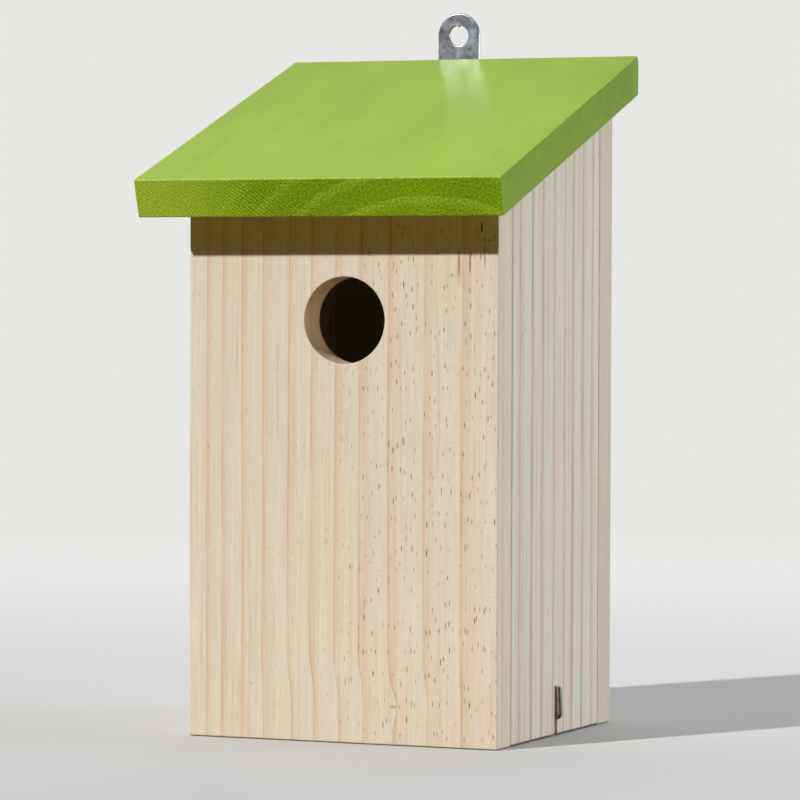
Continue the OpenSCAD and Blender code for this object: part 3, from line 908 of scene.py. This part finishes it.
def light_sun(name, direction, strength, colour, angle):
    d = bpy.data.lights.new(name, "SUN")
    d.energy = strength
    d.color = colour
    d.angle = angle
    o = bpy.data.objects.new(name, d)
    scene.collection.objects.link(o)
    o.rotation_euler = Vector(direction).to_track_quat("-Z", "Y").to_euler()
    return o


def light_area(name, place, aim, size, power, colour):
    d = bpy.data.lights.new(name, "AREA")
    d.shape = "RECTANGLE"
    d.size, d.size_y = size
    d.energy = power
    d.color = colour
    o = bpy.data.objects.new(name, d)
    scene.collection.objects.link(o)
    o.location = place
    o.rotation_euler = (Vector(aim) - Vector(place)).to_track_quat("-Z", "Y").to_euler()
    return o


light_sun("key", (0.55, 1.0, -0.655), 3.26, (1.0, 0.985, 1.0), math.radians(2))
light_area("fill_right", (1.58, 0.62, 0.26), (0, 0, 0.12), (1.2, 0.5), 20.0, (0.80, 0.88, 1.0))

light_area("fill_left", (-1.4, 0.65, 0.35), (0, 0, 0.12), (1.1, 1.1), 8, (0.95, 0.97, 1.0))
light_area("fill_low", (1.3, -0.36, 0.12), (0, -0.05, 0.15), (0.5, 0.6), 1.1, (1.0, 0.80, 0.58))
light_area("fill_back", (-0.3, 1.7, 0.12), (0, 0, 0.12), (1.4, 0.9), 14, (1.0, 0.98, 0.95))

# what the surroundings throw back into the entrance hole
hole = Vector(world((HX - HR, 6.0, HZ - 2.0)))
glow_at = Vector(world((38.0, 34.0, HZ + 6.0)))
d = bpy.data.lights.new("hole_bounce", "SPOT")
d.energy = 0.031
d.color = (1.0, 0.72, 0.48)
d.spot_size = math.radians(30)
d.spot_blend = 1.0
d.shadow_soft_size = 0.006
o = bpy.data.objects.new("hole_bounce", d)
scene.collection.objects.link(o)
o.location = glow_at
o.rotation_euler = (hole - glow_at).to_track_quat("-Z", "Y").to_euler()

w = bpy.data.worlds.new("studio")
scene.world = w
w.use_nodes = True
wt = w.node_tree
bg = wt.nodes["Background"]


def wn(kind, **props):
    n = wt.nodes.new(kind)
    for k, v in props.items():
        setattr(n, k, v)
    return n


tc = wn("ShaderNodeTexCoord")
sp = wn("ShaderNodeSeparateXYZ")
wt.links.new(tc.outputs["Generated"], sp.inputs[0])
# brighter overhead and behind, dim in front and low
high = wn("ShaderNodeMapRange", interpolation_type="SMOOTHSTEP")
wt.links.new(sp.outputs[2], high.inputs["Value"])
for s, v in zip(("From Min", "From Max", "To Min", "To Max"), (0.15, 0.75, 0.0, 1.0)):
    high.inputs[s].default_value = v
back_ = wn("ShaderNodeMapRange", interpolation_type="SMOOTHSTEP")
wt.links.new(sp.outputs[1], back_.inputs["Value"])
for s, v in zip(("From Min", "From Max", "To Min", "To Max"), (-0.25, 0.35, 0.008, 0.14)):
    back_.inputs[s].default_value = v
ahead_ = wn("ShaderNodeMapRange", interpolation_type="SMOOTHSTEP")
wt.links.new(sp.outputs[1], ahead_.inputs["Value"])
for s, v in zip(("From Min", "From Max", "To Min", "To Max"), (-0.7, 0.2, 0.55, 1.0)):
    ahead_.inputs[s].default_value = v
over = wn("ShaderNodeMath", operation="MULTIPLY")
wt.links.new(high.outputs[0], over.inputs[0])
wt.links.new(ahead_.outputs[0], over.inputs[1])
amount = wn("ShaderNodeMath", operation="MULTIPLY_ADD")
wt.links.new(over.outputs[0], amount.inputs[0])
amount.inputs[1].default_value = 0.42
wt.links.new(back_.outputs[0], amount.inputs[2])
lp = wn("ShaderNodeLightPath")
lit = wn("ShaderNodeBackground")
lit.inputs["Color"].default_value = (0.86, 0.93, 1.0, 1)
wt.links.new(amount.outputs[0], lit.inputs["Strength"])
BACKDROP = (0.80, 0.80, 0.78, 1)
bg.inputs["Color"].default_value = BACKDROP
bg.inputs["Strength"].default_value = 1.0
mixw = wn("ShaderNodeMixShader")
wt.links.new(lp.outputs["Is Camera Ray"], mixw.inputs[0])
wt.links.new(lit.outputs[0], mixw.inputs[1])
wt.links.new(bg.outputs[0], mixw.inputs[2])
wt.links.new(mixw.outputs[0], wt.nodes["World Output"].inputs[0])

me = bpy.data.meshes.new("studio_floor")
me.from_pydata([(-12, -12, -0.0002), (12, -12, -0.0002), (12, 12, -0.0002), (-12, 12, -0.0002)], [], [(0, 1, 2, 3)])
ground = bpy.data.objects.new("studio_floor", me)
scene.collection.objects.link(ground)
g = Net("studio_floor")
tcg = g.new("ShaderNodeTexCoord")
far_ = g.v("LENGTH", tcg.outputs["Object"])
lpg = g.new("ShaderNodeLightPath")
seen = g.mix(lpg.outputs["Is Camera Ray"], (0.255, 0.135, 0.004, 1), (0.62, 0.61, 0.585, 1))
g.put(g.bsdf.inputs["Base Color"], seen)
g.bsdf.inputs["Roughness"].default_value = 0.9
glow = g.new("ShaderNodeEmission")
glow.inputs["Color"].default_value = BACKDROP
g.put(glow.inputs["Strength"], g.m("MULTIPLY", lpg.outputs["Is Camera Ray"], 1.0))
blend = g.new("ShaderNodeMixShader")
g.put(blend.inputs[0], g.step(far_, 0.35, 1.3))
g.t.links.new(g.bsdf.outputs[0], blend.inputs[1])
g.t.links.new(glow.outputs[0], blend.inputs[2])
g.t.links.new(blend.outputs[0], g.out.inputs[0])
me.materials.append(g.mat)

cam = bpy.data.cameras.new("camera")
cam.lens = 194.195
cam.sensor_width = 36
cam.clip_start = 0.05
cam.clip_end = 100
co = bpy.data.objects.new("camera", cam)
scene.collection.objects.link(co)
right = Vector((0.917984, 0.396599, 0.003782))
upward = Vector((-0.01379442, 0.02239664, 0.99965399))
ahead = Vector((-0.39637659, 0.91771892, -0.02603061))
m = Matrix.Identity(4)
for i in range(3):
    m[i][0], m[i][1], m[i][2], m[i][3] = right[i], upward[i], -ahead[i], (0.646236, -1.487987, 0.167040)[i]
co.matrix_world = m
scene.camera = co
scene.view_settings.view_transform = "Standard"
